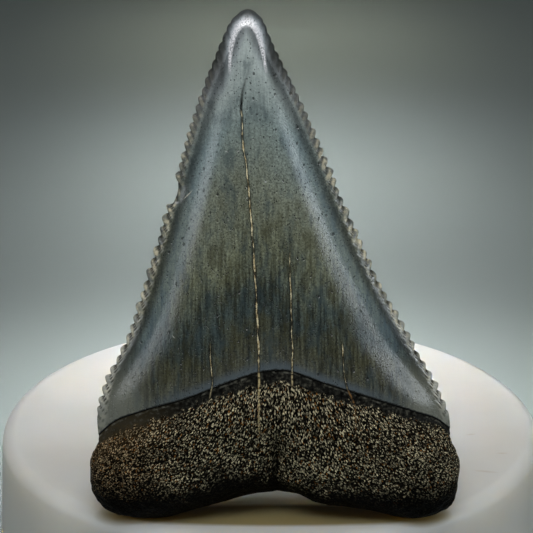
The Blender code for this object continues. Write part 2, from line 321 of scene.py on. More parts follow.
def crown_section(across, half, down):
    """Share of the crown's full bulge at each place across, 1 in the middle and 0 at the edge. Its
    slope is a power of the distance from the middle, plus a hump (1 / cosh^2) at the shoulder,
    less an ease that comes in beyond it (a logistic step)."""
    left = across < 0.0
    growth = 1.0 - np.exp(-half / SHOULDER_GROWTH)
    shoulder_in = np.where(left, *SHOULDER_IN) * growth * (1.0 - SHOULDER_LOW * smooth_step(0.80, 1.0, down))
    place = 1.0 - shoulder_in / half
    wide = SHOULDER_HALF / half
    soft = EASE_LENGTH * wide
    steeper = curve_through(STEEPER, down) - np.where(left, 0.0, RIGHT_LESS_STEEP)

    def fallen(reach):
        """The integral of the slope out to a distance from the middle, as a share of the half width:
        distance^power / power, plus a tanh for the hump, less a log(1 + exp) for the ease."""
        hump = steeper * wide * np.tanh((reach - place) / wide)
        ease = EDGE_EASE * soft * np.log1p(np.exp((reach - place - EASE_PLACE * wide) / soft))
        return reach ** SECTION_POWER / SECTION_POWER + hump - ease

    return (fallen(1.0) - fallen(np.abs(across))) / (fallen(1.0) - fallen(0.0))


def crown_surface(across, down):
    """Crown points over a grid, across from -1 (left edge) to 1 and down from 0 (tip) to 1 (enamel
    line). x runs evenly between the two edges, z falls evenly to the enamel line, and the front
    and back stand proud of the middle plane by bulge * shape plus the edge's half thickness,
    which rounds off to nothing at the edge itself. The shape is the crown's section, and near the
    tip a flat middle between straight flanks. The last value is the distance, in millimetres,
    outside the worn ridge, an arch on which (x / half width)^2 is 1 - exp(-drop): the difference of
    the two over the length of its gradient."""
    rounding = quarter_round(down * (TOOTH_HEIGHT - LEFT_EDGE[0][0]) / TIP_ROUND)
    left_z = TOOTH_HEIGHT - down * (TOOTH_HEIGHT - LEFT_EDGE[0][0])
    right_z = TOOTH_HEIGHT - down * (TOOTH_HEIGHT - RIGHT_EDGE[0][0])
    left_x = curve_through(LEFT_EDGE, left_z)
    right_x = curve_through(RIGHT_EDGE, right_z)
    half = 0.5 * (right_x - left_x) * rounding
    x = 0.5 * (left_x + right_x) + across * half
    z = TOOTH_HEIGHT - down * (TOOTH_HEIGHT - curve_through(ENAMEL_LINE, across))
    edge = np.abs(across)
    inward = (1.0 - edge) * half

    leaning = z + KNOB_TILT * np.minimum(inward, 2.0 * KNOB_REACH)
    saw = np.where(across < 0.0, denticles(left_z[:, 0], left_x[:, 0], leaning, 3),
                   denticles(right_z[:, 0], right_x[:, 0], leaning, 4))
    unworn = smooth_step(*WEAR_ENDS, z)
    depth = (KNOB_DEPTH[0] + KNOB_DEPTH[1] * unworn) * MM * smooth_step(0.0, 0.03, down)
    depth = depth * smooth_step(*SAW_FADES, z)
    near_edge = np.clip(1.0 - inward / np.minimum(KNOB_REACH, 0.6 * half + 1e-9), 0.0, 1.0)
    chip = np.exp(-np.abs((z - CHIP_HEIGHT) / CHIP_HALF) ** 6) * (across < 0.0)
    out = (saw * (1.0 - 0.85 * chip) - PLAIN_EDGE) * depth * near_edge ** 1.3
    out = out - chip * CHIP_DEPTH * np.clip(1.0 - inward / CHIP_REACH, 0.0, 1.0)
    x = x + np.sign(across) * out * KNOB_OUT
    z = z + out * KNOB_UP

    low = smooth_step(*FACET_ENDS, down)
    flanks = (1.0 + ((1.0 - edge) / FACET_FLANK + 1e-9) ** -FACET_BEND) ** (-1.0 / FACET_BEND)
    shape = (1.0 - low) * flanks + low * crown_section(across, half, down)
    bulge = TIP_FRONT * rounding + (CROWN_FRONT - TIP_FRONT) * smooth_step(0.0, 1.0, down)
    back_bulge = TIP_BACK * rounding + (CROWN_BACK - TIP_BACK) * down
    back_shape = (1.0 - edge ** BACK_POWERS[0]) ** BACK_POWERS[1]
    round_off = quarter_round(inward / EDGE_ROUND)
    knob = KNOB_RELIEF * (saw - 0.6) * unworn * near_edge * round_off * (1.0 - chip)
    knob = knob * smooth_step(*SAW_FADES, z)
    scoop = CHIP_SCOOP * chip * smooth_step(2.4, 0.8, inward / MM) * smooth_step(0.0, 0.4, inward / MM)
    flange = EDGE_THICKNESS * round_off * smooth_step(-0.01, 0.05, down)
    bend = TIP_BEND * np.clip(1.0 - (TOOTH_HEIGHT - z) / TIP_BEND_LENGTH, 0.0, 1.0) ** 2
    front = flange + knob + bulge * shape - scoop - bend
    back = flange + knob + back_bulge * back_shape + bend
    spread = np.exp(np.minimum((z - TOOTH_HEIGHT) / MM + RIDGE_BELOW_TIP, RIDGE_DROP) / RIDGE_DROP)
    from_middle = edge * half / MM
    facet_mm = (((from_middle / RIDGE_HALF) ** 2 - 1.0 + spread)
                / np.hypot(2.0 * from_middle / RIDGE_HALF ** 2, spread / RIDGE_DROP))
    return x, z, front, -back, np.stack([inward / MM, saw, facet_mm], -1)


def root_surface(across, down):
    """Root points over a grid, down from 0 (enamel line) to 1 (base). x runs between the sides of
    the two lobes, which swell and then turn under as sqrt(1 - down^6). The front and back stand
    off a base line that drifts back under the arch, and both close on it at the base as
    sqrt(1 - down^power). Their sections are the crown's at the enamel line and squarer below."""
    close_side = np.sqrt(1.0 - down ** 6)
    left_neck = 1.0 - smooth_step(0.0, LEFT_LOBE[3], down)
    right_neck = 1.0 - smooth_step(0.0, RIGHT_LOBE[3], down)
    left_x = LEFT_LOBE[0] - LEFT_LOBE[1] * close_side + LEFT_LOBE[2] * left_neck
    right_x = RIGHT_LOBE[0] + RIGHT_LOBE[1] * close_side - RIGHT_LOBE[2] * right_neck
    half = 0.5 * (right_x - left_x)
    x = 0.5 * (left_x + right_x) + across * half
    line = curve_through(ENAMEL_LINE, across)
    z = (1.0 - down) * line + down * curve_through(BASE_LINE, across)
    edge = np.abs(across)
    arch = 1.0 - smooth_step(*ARCH_ENDS, np.abs(across - ARCH_MIDDLE))
    close_back = np.sqrt(np.clip(1.0 - down ** (BASE_POWER + ARCH_BACK_POWER * arch), 0.0, 1.0))
    close_front = np.sqrt(np.clip(1.0 - down ** (BASE_POWER + ARCH_FRONT_POWER * arch), 0.0, 1.0))
    base = curve_through(BASE_DEPTH, across) * smooth_step(0.2, 1.0, down)
    swell = smooth_step(0.0, 0.35, down)
    blunt = ROOT_BLUNT * smooth_step(0.0, 0.6, down)
    front = CROWN_FRONT + ROOT_BULGE * swell * arch
    front = front - LOBE_THINNING * smooth_step(0.0, 0.5, down) * (1.0 - arch)
    back = CROWN_BACK + ROOT_BACK_BULGE * smooth_step(0.0, 0.4, down)
    groove = sum(deep * np.exp(-((x - GROOVE_X) / wide) ** 2) for deep, wide in GROOVES)
    groove = groove * smooth_step(0.35, 0.62, down)
    flange = EDGE_THICKNESS * quarter_round((1.0 - edge) * half / EDGE_ROUND)
    front_side = (1.0 - swell) * crown_section(across, half, np.ones_like(down))
    front_side = front_side + swell * np.sqrt(1.0 - edge ** (3.0 + 0.9 * blunt))
    back_side = (1.0 - edge ** (BACK_POWERS[0] + blunt)) ** (BACK_POWERS[1] - 0.6 * swell)
    front = base + (flange + front * front_side - groove) * close_front
    back = base - (flange + back * back_side) * close_back
    return x, z, front, back, (line - z)[..., None]


def ring_of(front, back):
    """Joins front and back grids into closed rows: along the front, then home along the back."""
    return np.concatenate([front, back[:, -2:0:-1]], axis=1)


def grid_normals(rings):
    """Unit normals of closed rows of points: the cross product of the steps along and between them."""
    along = np.roll(rings, -1, 1) - np.roll(rings, 1, 1)
    normal = np.cross(np.gradient(rings, axis=0), along)
    return normal / (np.linalg.norm(normal, axis=-1, keepdims=True) + 1e-12)


def tooth_rings(surface_points):
    """The closed rows of (x, y, z) points of a surface whose front faces -y, with the values that
    the surface gives for each point."""
    x, z, front, back, values = surface_points
    rings = ring_of(np.stack([x, -front, z], -1), np.stack([x, -back, z], -1))
    return rings, np.moveaxis(ring_of(values, values), -1, 0)


# Columns crowd at the two edges and rows at the tip, where the shape turns fastest. The root has
# four points for each one of the crown, and the strip just below the enamel line joins the two.
crown_across = np.sin(0.5 * pi * np.linspace(-1.0, 1.0, CROWN_COLUMNS + 1))
rows = np.linspace(0.0, 1.0, CROWN_ROWS + 1)[1:]
crown_down = rows * (0.8 + 0.2 * rows) * (1.0 - np.exp(-60.0 * rows))
crown_grid = np.meshgrid(crown_across, crown_down)
crown, (inward_mm, saw, facet_mm) = tooth_rings(crown_surface(*crown_grid))
fine = np.linspace(-1.0, 1.0, FINER * CROWN_COLUMNS + 1)
root_down = np.sin(0.5 * pi * np.linspace(0.0, 1.0, ROOT_ROWS + 1)[1:])
even = smooth_step(0.0, 0.4, root_down)[:, None]
root_across = (1.0 - even) * np.sin(0.5 * pi * fine) + even * np.sin(0.42 * pi * fine) / sin(0.42 * pi)
root_grid = (root_across, np.broadcast_to(root_down[:, None], root_across.shape))
root, (root_below,) = tooth_rings(root_surface(*root_grid))

# Growth and wear leave the enamel faintly wavy and the root lumpy, with a step up onto the root
# where the smooth dental band ends. Heights and lump sizes are in millimetres.
BAND_HEIGHT = 0.0015          # of the dental band in the middle; it narrows to its ends
CROWN_LUMPS = ((0.035, 4.5, 0.5, 11), (0.010, 1.3, 0.25, 12))      # height, width, width over length, seed
ROOT_LUMPS = ((0.22, 5.0, 22), (0.16, 2.2, 23), (0.12, 1.1, 24), (0.10, 0.6, 25))   # height, size, seed
LINE_DEPTH = 0.07             # how far the root's surface drops just below the enamel line
ROOT_STEP = 0.12              # and how far it rises again at the end of the band
crown_wave = sum(high * lumps(crown * (1.0, 1.0, slender), size * MM, seed)
                 for high, size, slender, seed in CROWN_LUMPS)
calm_edge = smooth_step(0.6, 2.5, inward_mm)[..., None]
crown = crown + grid_normals(crown) * crown_wave[..., None] * calm_edge * MM
root_share = np.abs(ring_of(root_grid[0], root_grid[0]))
band_here = BAND_HEIGHT * (1.0 - 0.55 * root_share ** 2) * (1.0 + 0.22 * lumps(root, 3.0 * MM, 21))
on_root = smooth_step(0.0, 0.35 * MM, root_below - band_here)
root_relief = (-LINE_DEPTH * smooth_step(0.0, 0.12 * MM, root_below) + ROOT_STEP * on_root
               + on_root * sum(high * lumps(root, size * MM, seed) for high, size, seed in ROOT_LUMPS))
calm_base = smooth_step(1.0, 0.93, ring_of(root_grid[1], root_grid[1]))
root = root + grid_normals(root) * (root_relief * calm_base)[..., None] * MM

crown_ring = crown.shape[1]
root_ring = root.shape[1]
crown_numbers = 1 + np.arange(crown.shape[0] * crown_ring).reshape(-1, crown_ring)
root_numbers = crown_numbers[-1, -1] + 1 + np.arange((root.shape[0] - 1) * root_ring).reshape(-1, root_ring)
base_front = root_numbers[-1, -1] + 1 + np.arange(FINER * CROWN_COLUMNS + 1)
base_numbers = np.concatenate([base_front, base_front[-2:0:-1]])
tip = np.array([[0.5 * (LEFT_EDGE[-1][1] + RIGHT_EDGE[-1][1]), TIP_BEND, TOOTH_HEIGHT]])
tooth_points = np.vstack([tip, crown.reshape(-1, 3), root[:-1].reshape(-1, 3), root[-1, :len(base_front)]])
upper = crown_numbers[-1]
upper_next = np.roll(upper, -1)
lower = np.column_stack([root_numbers[0].reshape(-1, FINER), np.roll(root_numbers[0], -FINER)[::FINER]])
stitch = np.vstack([np.stack(corners, -1) for corners in (
    (upper, lower[:, 0], lower[:, 1]), (upper, lower[:, 1], lower[:, 2]), (upper, lower[:, 2], upper_next),
    (upper_next, lower[:, 2], lower[:, 3]), (upper_next, lower[:, 3], lower[:, 4]))])
crown_quads = strip(crown_numbers[:-1], crown_numbers[1:])
root_quads = np.vstack([strip(root_numbers[:-1], root_numbers[1:]), strip(root_numbers[-1], base_numbers)])
crown_fan = fan(0, crown_numbers[0])

# Surface maps for the finish, in millimetres unless they are shares: the place in the tooth's own
# plane, the grain's fanned-out place on the root, and the distances to edge, enamel line and cracks.
FAR = 9.0                     # millimetres, for a place that a feature never reaches
GRAIN_SPREAD = 0.06           # how fast the root's grain fans out, per millimetre
CRACKS = {"crack_long": [(12.0, -2.8), (20.6, -2.75), (27.5, -3.05), (35.9, -3.55), (41.5, -4.05),
                         (47.9, -4.68), (50.3, -4.68), (53.5, -4.0)],
          "crack_right": [(17.5, 1.02), (21.2, 1.05), (28.0, 0.82), (31.2, 0.72), (37.5, 0.70)],
          "crack_short_left": [(16.0, -8.5), (17.6, -8.1), (21.0, -8.23), (22.9, -8.32)],
          "crack_short_right": [(12.5, 8.3), (15.5, 8.1), (17.9, 7.2), (20.8, 6.85), (22.8, 6.68)],
          "crevice": [(2.5, -0.9), (6.0, -1.15), (8.7, -0.8), (11.6, -1.2), (13.2, -1.7)]}   # (up, across)
crown_share = np.broadcast_to(crown_across, (CROWN_ROWS, CROWN_COLUMNS + 1))
share_across = np.concatenate([[0.0], ring_of(crown_share, crown_share).ravel(),
                               ring_of(root_across, root_across)[:-1].ravel(), root_across[-1]])
flat_x, flat_y, flat_z = tooth_points.T / MM
on_root_points = np.zeros(len(tooth_points) - 1 - saw.size)
edge_mm, saw, facet_mm = (np.concatenate([[at_tip], values.ravel(), on_root_points + below])
                          for values, at_tip, below in ((inward_mm, 0.0, FAR), (saw, 0.0, 0.0),
                                                        (facet_mm, 1.0, -FAR)))
above_line_mm = (tooth_points[:, 2] - curve_through(ENAMEL_LINE, share_across)) / MM
grain_mm = np.stack([flat_x * np.exp(GRAIN_SPREAD * (flat_z - 10.0)),
                     flat_z - 0.5 * GRAIN_SPREAD * flat_x ** 2, flat_y], -1)
maps = {"tooth_mm": tooth_points / MM, "grain_mm": grain_mm, "share_across": share_across,
        "edge_mm": edge_mm, "above_line_mm": above_line_mm, "saw": saw, "facet_mm": facet_mm}
up_only = tooth_points * (0.0, 0.0, 1.0)
wander = 0.07 * lumps(up_only, 1.6 * MM, 31) + 0.03 * lumps(up_only, 0.5 * MM, 32)
for name, path in CRACKS.items():
    away = flat_x - curve_through(path, np.clip(flat_z, path[0][0], path[-1][0])) - wander
    maps[name] = np.where(flat_y < 0.0, away, FAR)

tooth_turn = np.array([[1.0, 0.0, 0.0], [0.0, cos(LEAN_BACK), sin(LEAN_BACK)],
                       [0.0, -sin(LEAN_BACK), cos(LEAN_BACK)]])
standing = tooth_points @ tooth_turn.T
standing = standing + (TOOTH_X, TOOTH_Y, STAND_HEIGHT - standing[:, 2].min())
tooth = skin("fossil_tooth", standing, np.vstack([crown_quads, root_quads]), np.vstack([crown_fan, stitch]))
for name, values in maps.items():
    vector = values.ndim == 2
    attribute = tooth.data.attributes.new(name, "FLOAT_VECTOR" if vector else "FLOAT", "POINT")
    attribute.data.foreach_set("vector" if vector else "value", values.astype(np.float32).ravel())
material_numbers = np.repeat([0, 1, 0, 1], [len(crown_quads), len(root_quads), len(crown_fan), len(stitch)])
tooth.data.polygons.foreach_set("material_index", material_numbers.astype(np.int32))

# Fossil enamel: the shark's own fluorapatite enameloid, stained blue-grey by minerals and polished
# by sand. It gives a clear gloss over a streaky olive and blue-grey body, with dark pits, and
# paler denticles. A MapRange takes a value, the two it runs between, and what those two become.
TIMES = {"operation": "MULTIPLY"}
LESS = {"operation": "SUBTRACT"}
TIMES_PLUS = {"operation": "MULTIPLY_ADD"}
UNSIGNED = {"operation": "ABSOLUTE"}
SMOOTH = {"interpolation_type": "SMOOTHSTEP"}
enamel, node = new_material("fossil_enameloid")
here = node("Attribute", {}, "Vector", attribute_name="tooth_mm")
up = node("SeparateXYZ", (here,), 2)
above = node("Attribute", {}, "Fac", attribute_name="above_line_mm")
edge = node("Attribute", {}, "Fac", attribute_name="edge_mm")
share = node("Math", (node("Attribute", {}, "Fac", attribute_name="share_across"),), **UNSIGNED)

# The body's colours follow each other up the crown, pushed up and down by clouds 5 to 8 mm long.
cloud_place = node("Mapping", {"Vector": here, "Scale": (0.2, 0.2, 0.12)})
cloud = node("TexNoise", {"Vector": cloud_place, "Scale": 1.0, "Detail": 4.0})
zone = node("Math", (cloud, 9.0, above), **TIMES_PLUS)
body = node("ValToRGB", (node("MapRange", (zone, 4.5, 46.5)),),
            stops=((0.0, "494a40"), (0.10, "434537"), (0.16, "3a4340"), (0.22, "424a44"),
                   (0.34, "676b58"), (0.52, "787e70"), (0.72, "82908d"), (0.85, "acb7b5"), (0.97, "b9c3ca")))

# Grain of 0.2 mm fades out towards the tip. Streaks 0.3 mm wide and 4.5 mm long are strongest low down.
fine_grain = node("TexNoise", {"Vector": here, "Scale": 4.5, "Detail": 3.0, "Roughness": 0.65})
fine_shade = node("MapRange", (fine_grain, 0.35, 0.65, 0.54, 1.42))
calm = node("Math", (node("MapRange", (up, 40.0, 54.0), **SMOOTH), 0.75), **TIMES)
fine_shade = node("Mix", {0: calm, 2: fine_shade, 3: 1.0})
streak_place = node("Mapping", {"Vector": here, "Scale": (3.4, 1.0, 0.22)})
streaks = node("TexNoise", {"Vector": streak_place, "Scale": 1.0, "Detail": 3.0, "Roughness": 0.6})
streak_share = node("MapRange", (above, 24.0, 8.0, 0.15, 1.0), **SMOOTH)
streak_shade = node("MapRange", (streaks, 0.38, 0.62, 0.42, 1.55))
streak_shade = node("Mix", {0: streak_share, 2: 1.0, 3: streak_shade})
shade = node("Math", (fine_shade, streak_shade), **TIMES)
body = node("Mix", {0: 1.0, 6: body, 7: shade}, blend_type="MULTIPLY", **RGBA)

# Blue and olive stains of 2 to 4 mm, a blue strip along the enamel line, and a painted reflection: a pale
# blue sheen on the flanks.
patch_place = node("Mapping", {"Vector": here, "Scale": (0.6, 0.6, 0.28)})
patches = node("TexNoise", {"Vector": patch_place, "Scale": 1.0, "Detail": 5.0, "Roughness": 0.65})
body = node("Mix", {0: node("MapRange", (patches, 0.50, 0.66, 0.0, 0.55)), 6: body, 7: "33444a"}, **RGBA)
olive = node("Math", (node("MapRange", (patches, 0.50, 0.36, 0.0, 0.48)),
                      node("MapRange", (up, 46.0, 36.0))), **TIMES)
body = node("Mix", {0: olive, 6: body, 7: "47452f"}, **RGBA)
blue_strip = node("Math", (node("MapRange", (above, 1.5, 0.3, 0.0, 0.85), **SMOOTH),
                           node("MapRange", (share, 0.8, 0.45))), **TIMES)
body = node("Mix", {0: blue_strip, 6: body, 7: "535d64"}, **RGBA)
off_flank = node("Math", (node("Math", (edge, 3.4), **LESS),), **UNSIGNED)
off_height = node("Math", (node("Math", (up, 34.0), **LESS),), **UNSIGNED)
painted_flank_sheen = node("Math", (node("MapRange", (off_flank, 2.0, 0.5, 0.0, 0.30), **SMOOTH),
                           node("MapRange", (off_height, 17.0, 9.0), **SMOOTH)), **TIMES)
body = node("Mix", {0: painted_flank_sheen, 6: body, 7: "7f97a5"}, **RGBA)

# Pits in three sizes
PITS = ((0.95, 0.35, 0.20), (2.1, 0.35, 0.24), (3.1, 0.30, 0.30))
pit_mask = 0.0
for pitch, without, largest in PITS:      # cells per mm, share without a pit, radius in cells
    pit_place = node("Mapping", {"Vector": here, "Scale": (1.3 * pitch, pitch, pitch)})
    pits = node("TexVoronoi", {"Vector": pit_place, "Scale": 1.0}, "Distance")
    pit_pick = node("SeparateColor", (pits.node.outputs["Color"],))
    pit_size = node("MapRange", (pit_pick, without, 1.0, 0.0, largest))
    pit = node("MapRange", (node("Math", (pits, pit_size), **LESS), 0.04, -0.04))
    pit_mask = node("Math", (pit_mask, pit), operation="MAXIMUM")
body = node("Mix", {0: node("Math", (pit_mask, 0.72), **TIMES), 6: body, 7: "121415"}, **RGBA)

# A dark rim of painted shade behind the denticles, and paler low corners.
painted_shade_rim = node("Math", (node("MapRange", (edge, 1.0, 1.6), **SMOOTH),
                         node("MapRange", (edge, 3.2, 1.8), **SMOOTH)), **TIMES)
body = node("Mix", {0: node("Math", (painted_shade_rim, 0.66), **TIMES), 6: body, 7: "1d2122"}, **RGBA)
corner = node("Math", (node("MapRange", (share, 0.62, 0.88, 0.0, 0.7), **SMOOTH),
                       node("MapRange", (up, 22.0, 14.0), **SMOOTH)), **TIMES)
body = node("Mix", {0: corner, 6: body, 7: "7e8075"}, **RGBA)

# Denticles: pale silver low down as a painted highlight, brown near the tip, and painted shade in the
# notches.
knob_noise = node("TexNoise", {"Vector": here, "Scale": 1.4, "Detail": 3.0})
knob_colour = node("ValToRGB", (knob_noise,), stops=((0.36, "5a5f60"), (0.50, "969483"), (0.62, "e4dabc")))
saw = node("Attribute", {}, "Fac", attribute_name="saw")
for amount, tint in ((node("MapRange", (up, 32.0, 16.0, 0.0, 0.6)), "d2d1c6"),
                     (node("MapRange", (up, 38.0, 52.0, 0.0, 0.95)), "453d2d"),
                     (node("MapRange", (saw, 0.70, 0.34, 0.0, 0.95), **SMOOTH), "21190f")):
    knob_colour = node("Mix", {0: amount, 6: knob_colour, 7: tint}, **RGBA)
knob_amount = node("Math", (node("MapRange", (edge, 1.6, 0.7, 0.0, 0.9), **SMOOTH),
                            node("MapRange", (up, 58.0, 54.0, 0.1, 0.9), **SMOOTH)), **TIMES)
knob_amount = node("Math", (knob_amount, node("MapRange", (up, 11.5, 15.5, 0.2, 1.0), **SMOOTH)), **TIMES)
body = node("Mix", {0: knob_amount, 6: body, 7: knob_colour}, **RGBA)

# The worn tip: dark flanks, and a white highlight with sparkle painted along the ridge round the facet.
facet = node("Attribute", {}, "Fac", attribute_name="facet_mm")
flank_dark = node("Math", (node("MapRange", (facet, 0.15, 0.8, 0.0, 0.9), **SMOOTH),
                           node("MapRange", (up, 50.0, 54.5), **SMOOTH)), **TIMES)
body = node("Mix", {0: flank_dark, 6: body, 7: "20231e"}, **RGBA)
ridge_half = node("MapRange", (up, 54.5, 58.5, 0.18, 0.43))
painted_ridge_highlight = node("Math", (node("Math", (facet,), **UNSIGNED), ridge_half), operation="DIVIDE")
painted_ridge_highlight = node("MapRange", (painted_ridge_highlight, 1.35, 0.35), **SMOOTH)
speckle = node("TexNoise", {"Vector": here, "Scale": 6.0, "Detail": 2.0})
sparkle = node("Math", (node("MapRange", (speckle, 0.40, 0.54, 0.25, 1.0)),
                        node("MapRange", (up, 53.0, 54.2))), **TIMES)
body = node("Mix", {0: node("Math", (painted_ridge_highlight, sparkle), **TIMES), 6: body, 7: "f0f0f4"}, **RGBA)

# The enamel ends in a dark ragged line.
line_noise = node("TexNoise", {"Vector": here, "Scale": 2.0, "Detail": 2.0})
line_place = node("Math", (line_noise, 0.25, above), **TIMES_PLUS)
body = node("Mix", {0: node("MapRange", (line_place, 0.30, 0.20), **SMOOTH), 6: body, 7: "0a0a09"}, **RGBA)

# Cracks filled with pale mineral and dark along their sides: the height above which each is open
# and dark, its half width, its top end, and how far below that it starts to fade.
CRACK_LOOKS = (("crack_long", 48.8, 0.055, 53.6, 3.5), ("crack_right", 33.0, 0.036, 36.5, 5.5),
               ("crack_short_left", 90.0, 0.036, 22.9, 0.8), ("crack_short_right", 90.0, 0.036, 22.8, 0.8))
fill_place = node("Mapping", {"Vector": here, "Scale": (4.0, 4.0, 1.6)})
fill_noise = node("TexNoise", {"Vector": fill_place, "Scale": 1.0, "Detail": 3.0})
fill = node("ValToRGB", (fill_noise,), stops=((0.38, "4a4234"), (0.46, "baa77c"), (0.58, "e9deb8")))
breaks = node("TexNoise", {"Vector": here, "Scale": 1.1, "Detail": 2.0})
for name, open_above, half_width, end, fade in CRACK_LOOKS:
    away = node("Math", (node("Attribute", {}, "Fac", attribute_name=name),), **UNSIGNED)
    width = node("MapRange", (breaks, 0.36, 0.62, -0.1 * half_width, 1.7 * half_width))
    inside = node("MapRange", (node("Math", (away, width), **LESS), 0.03, -0.03))
    before_end = node("MapRange", (up, end, end - fade))
    dark_side = node("Math", (node("MapRange", (away, 0.24, 0.09, 0.0, 0.8)), before_end), **TIMES)
    body = node("Mix", {0: dark_side, 6: body, 7: "14150f"}, **RGBA)
    is_open = node("MapRange", (up, open_above - 0.4, open_above + 0.4))
    crack_colour = node("Mix", {0: is_open, 6: fill, 7: "0c0e10"}, **RGBA)
    inside = node("Math", (inside, before_end), **TIMES)
    body = node("Mix", {0: inside, 6: body, 7: crack_colour}, **RGBA)

# A few scratches and flecks, and one cream denticle: across, up, half length, half width, turn in
# degrees, and colour.
MARKS = ((-10.8, 39.15, 1.25, 0.10, -47.0, "d8d6c8"), (-12.1, 38.1, 0.5, 0.22, -20.0, "c9ccd0"),
         (-6.7, 32.2, 1.6, 0.05, 67.0, "8d9188"), (-12.5, 23.1, 0.35, 0.10, 40.0, "a9aba4"),
         (-2.0, 41.2, 0.25, 0.16, 0.0, "b4b9b6"), (-6.4, 44.5, 0.30, 0.08, 15.0, "c3c8c6"),
         (8.55, 33.7, 0.80, 0.62, 60.0, "f6eecb"))
FACE_Y = -2.5                 # about how far forward they lie, and how far from there they reach
MARK_DEPTH = 4.0
for mark_x, mark_z, half_long, half_thin, turned, mark_colour in MARKS:
    mark_place = node("Mapping", {"Vector": here, "Location": (mark_x, FACE_Y, mark_z),
                                  "Rotation": (0.0, radians(turned), 0.0),
                                  "Scale": (half_long, MARK_DEPTH, half_thin)}, vector_type="TEXTURE")
    mark = node("TexGradient", (mark_place,), "Fac", gradient_type="QUADRATIC_SPHERE")
    mark = node("Math", (mark, 2.2), operation="MULTIPLY", use_clamp=True)
    body = node("Mix", {0: mark, 6: body, 7: mark_colour}, **RGBA)

# Sand left grit marks of 0.2 mm in the polish, and the denticles are glossier low down.
grit = node("TexNoise", {"Vector": here, "Scale": 6.0, "Detail": 2.0})
bump = node("Bump", {"Strength": 0.5, "Distance": 0.00005, "Height": grit})
bump = node("Bump", {"Strength": 0.6, "Distance": 0.0001, "Height": pit_mask, "Normal": bump}, invert=True)
gloss = node("MapRange", (patches, 0.3, 0.7, 0.20, 0.32))
knob_gloss = node("MapRange", (edge, 1.6, 0.8, 1.0, node("MapRange", (up, 34.0, 46.0, 0.55, 1.5))))
gloss = node("Math", (gloss, knob_gloss), **TIMES)
surface = node("BsdfPrincipled", {"Base Color": body, "Roughness": gloss, "IOR": 1.63, "Normal": bump})
node("OutputMaterial", (surface,))

# Fossil root: osteodentine turned to black-brown phosphate, with its porous grain bared by
# weathering. It is matt and dark, with cream to grey grains catching the light, and the dental band
# at its top stays smooth and nearly black.
root_stone, node = new_material("fossil_root_phosphate")
here = node("Attribute", {}, "Vector", attribute_name="tooth_mm")
up = node("SeparateXYZ", (here,), 2)
grain_place = node("Attribute", {}, "Vector", attribute_name="grain_mm")
below = node("Math", (node("Attribute", {}, "Fac", attribute_name="above_line_mm"), -1.0), **TIMES)
across = node("Attribute", {}, "Fac", attribute_name="share_across")

# The grains are cells with a bright crest, and a swirl keeps them from lying in rows.
GRAIN = (1 / 0.17, 1 / 0.34, 1 / 0.24)      # per millimetre: the grains' width, length and depth
grain_scaled = node("Mapping", {"Vector": grain_place, "Scale": GRAIN})
swirl = node("TexNoise", {"Vector": grain_scaled, "Scale": 0.9, "Detail": 2.0}, 1)
swirl = node("VectorMath", (swirl, (0.5, 0.5, 0.5)), **LESS)
swirl = node("VectorMath", (swirl, (1.4, 1.4, 1.4)), **TIMES)
grain_scaled = node("VectorMath", (grain_scaled, swirl), operation="ADD")
grains = node("TexVoronoi", {"Vector": grain_scaled, "Scale": 1.0}, "Distance")
pick = node("SeparateColor", (grains.node.outputs["Color"],))
crest = node("MapRange", (grains, 0.60, 0.30), **SMOOTH)
patch = node("TexNoise", {"Vector": here, "Scale": 0.35, "Detail": 4.0, "Roughness": 0.6})

# Where the band ends: 0.9 to 2 mm below the enamel line, less at both sides and more at the left.
ragged = node("TexNoise", {"Vector": here, "Scale": 1.4, "Detail": 3.0})
band_edge = node("Math", (node("Math", (across, across), **TIMES), -0.9,
                          node("MapRange", (ragged, 0.3, 0.7, 0.9, 2.0))), **TIMES_PLUS)
left_side = node("MapRange", (across, -0.45, -0.85), **SMOOTH)
band_edge = node("Math", (left_side, 0.7, band_edge), **TIMES_PLUS)
rough_root = node("MapRange", (node("Math", (below, band_edge), **LESS), -0.1, 0.35), **SMOOTH)

# Painted shade towards the base, deepest in the hollow of the arch, where grains go unlit and the ground
# turns black.
off_hollow = node("Math", (node("Math", (across, 0.17), operation="ADD"),), **UNSIGNED)
painted_hollow_shade = node("MapRange", (off_hollow, 0.32, 0.08, 0.0, 2.2), **SMOOTH)
low_place = node("Math", (node("Math", (patch, 4.0, up), **TIMES_PLUS), painted_hollow_shade), **LESS)
painted_light_share = node("MapRange", (low_place, 9.0, 4.8, 1.0, 0.02), **SMOOTH)
brown_top = node("Math", (left_side, node("MapRange", (below, 6.0, 1.0), **SMOOTH)), **TIMES)
dark = node("Mix", {0: brown_top, 6: "060503", 7: "2e2312"}, **RGBA)
dark = node("Mix", {0: node("MapRange", (patch, 0.5, 0.75, 0.0, 0.5)), 6: dark, 7: "130f07"}, **RGBA)
dark = node("Mix", {0: node("MapRange", (painted_light_share, 0.5, 0.1)), 6: dark, 7: "020201"}, **RGBA)
lit = node("Mix", {0: pick.node.outputs[1], 6: "c6bda0", 7: "fff0c4"}, **RGBA)
lit = node("Mix", {0: node("Math", (left_side, 0.5), **TIMES), 6: lit, 7: "b88c56"}, **RGBA)
lit = node("Mix", {0: node("MapRange", (pick.node.outputs[2], 0.82, 0.88)), 6: lit, 7: "9c6a34"}, **RGBA)
lit_amount = crest
for factor in (node("MapRange", (pick, 0.2, 0.9, 0.03, 1.25)),
               node("MapRange", (patch, 0.3, 0.65, 0.55, 1.0)), painted_light_share):
    lit_amount = node("Math", (lit_amount, factor), **TIMES)
middle_more = node("MapRange", (node("Math", (across,), **UNSIGNED), 0.20, 0.60, 1.5, 1.0))
lit_amount = node("Math", (lit_amount, middle_more), operation="MULTIPLY", use_clamp=True)
stone = node("Mix", {0: lit_amount, 6: dark, 7: lit}, **RGBA)

